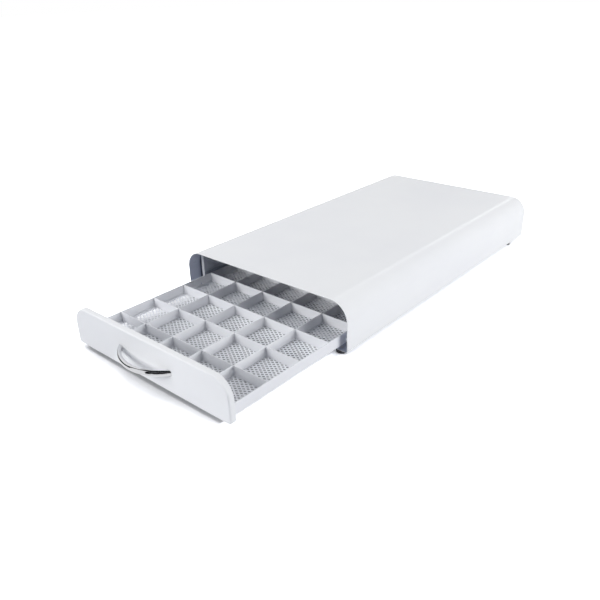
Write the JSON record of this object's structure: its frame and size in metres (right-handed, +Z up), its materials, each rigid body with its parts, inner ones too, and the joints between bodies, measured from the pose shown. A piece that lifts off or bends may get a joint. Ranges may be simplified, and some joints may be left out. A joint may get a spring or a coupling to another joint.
{
  "type": "coffee pod drawer",
  "caption": "Low sheet-steel case with one wide sliding drawer that holds coffee pods upright in square cells over an open mesh floor; arched bow handle, rubber feet.",
  "frame": {"origin": "on the table, under the middle of the overall box with the drawer part open as pictured", "axes": "+X to the right as the user faces the front, +Y from the handle to the back of the case, +Z up"},
  "size_m": [0.2868, 0.7182, 0.0703],
  "materials": {
    "case_paint": "white powder coat, satin",
    "panel_paint": "white powder coat, satin",
    "tray_paint": "white powder coat, satin",
    "divider_paint": "light grey powder coat, satin",
    "mesh_paint": "light grey powder coat, satin",
    "zinc": "zinc plated",
    "screw_steel": "zinc plated",
    "handle_chrome": "polished",
    "rivet_aluminium": "plain",
    "glide_nylon": "natural nylon",
    "guide_nylon": "natural nylon",
    "foot_rubber": "matt"
  },
  "bodies": {
    "case": {"outer_case": "case_paint", "back_panel": "case_paint", "left_liner": "case_paint", "right_liner": "case_paint", "front_header": "case_paint", "left_hold_down_rail": "case_paint", "right_hold_down_rail": "case_paint", "front_tie_bar": "zinc", "rear_tie_bar": "zinc", "left_glide_pad": "glide_nylon", "right_glide_pad": "glide_nylon", "front_left_foot": "foot_rubber", "front_right_foot": "foot_rubber", "rear_left_foot": "foot_rubber", "rear_right_foot": "foot_rubber", "foot_rivets": "rivet_aluminium"},
    "drawer": {"front_panel": "panel_paint", "panel_bracket": "zinc", "front_floor_bar": "zinc", "rear_floor_bar": "zinc", "panel_bolts": "screw_steel", "left_handle_screw": "screw_steel", "right_handle_screw": "screw_steel", "handle_washers": "screw_steel", "handle": "handle_chrome", "tray_left_wall": "tray_paint", "tray_right_wall": "tray_paint", "tray_front_wall": "tray_paint", "tray_rear_wall": "tray_paint", "mesh_floor": "mesh_paint", "left_guide_block": "guide_nylon", "right_guide_block": "guide_nylon", "guide_rivets": "rivet_aluminium", "length_divider_1": "divider_paint", "length_divider_2": "divider_paint", "length_divider_3": "divider_paint", "length_divider_4": "divider_paint", "cross_divider_1": "divider_paint", "cross_divider_2": "divider_paint", "cross_divider_3": "divider_paint", "cross_divider_4": "divider_paint", "cross_divider_5": "divider_paint", "cross_divider_6": "divider_paint", "cross_divider_7": "divider_paint", "cross_divider_8": "divider_paint"}
  },
  "joints": [
    {"name": "drawer_slide", "type": "slide", "parent": "case", "child": "drawer", "axis": [0, -1, 0], "range_m": [-0.2015, 0.183]}
  ]
}
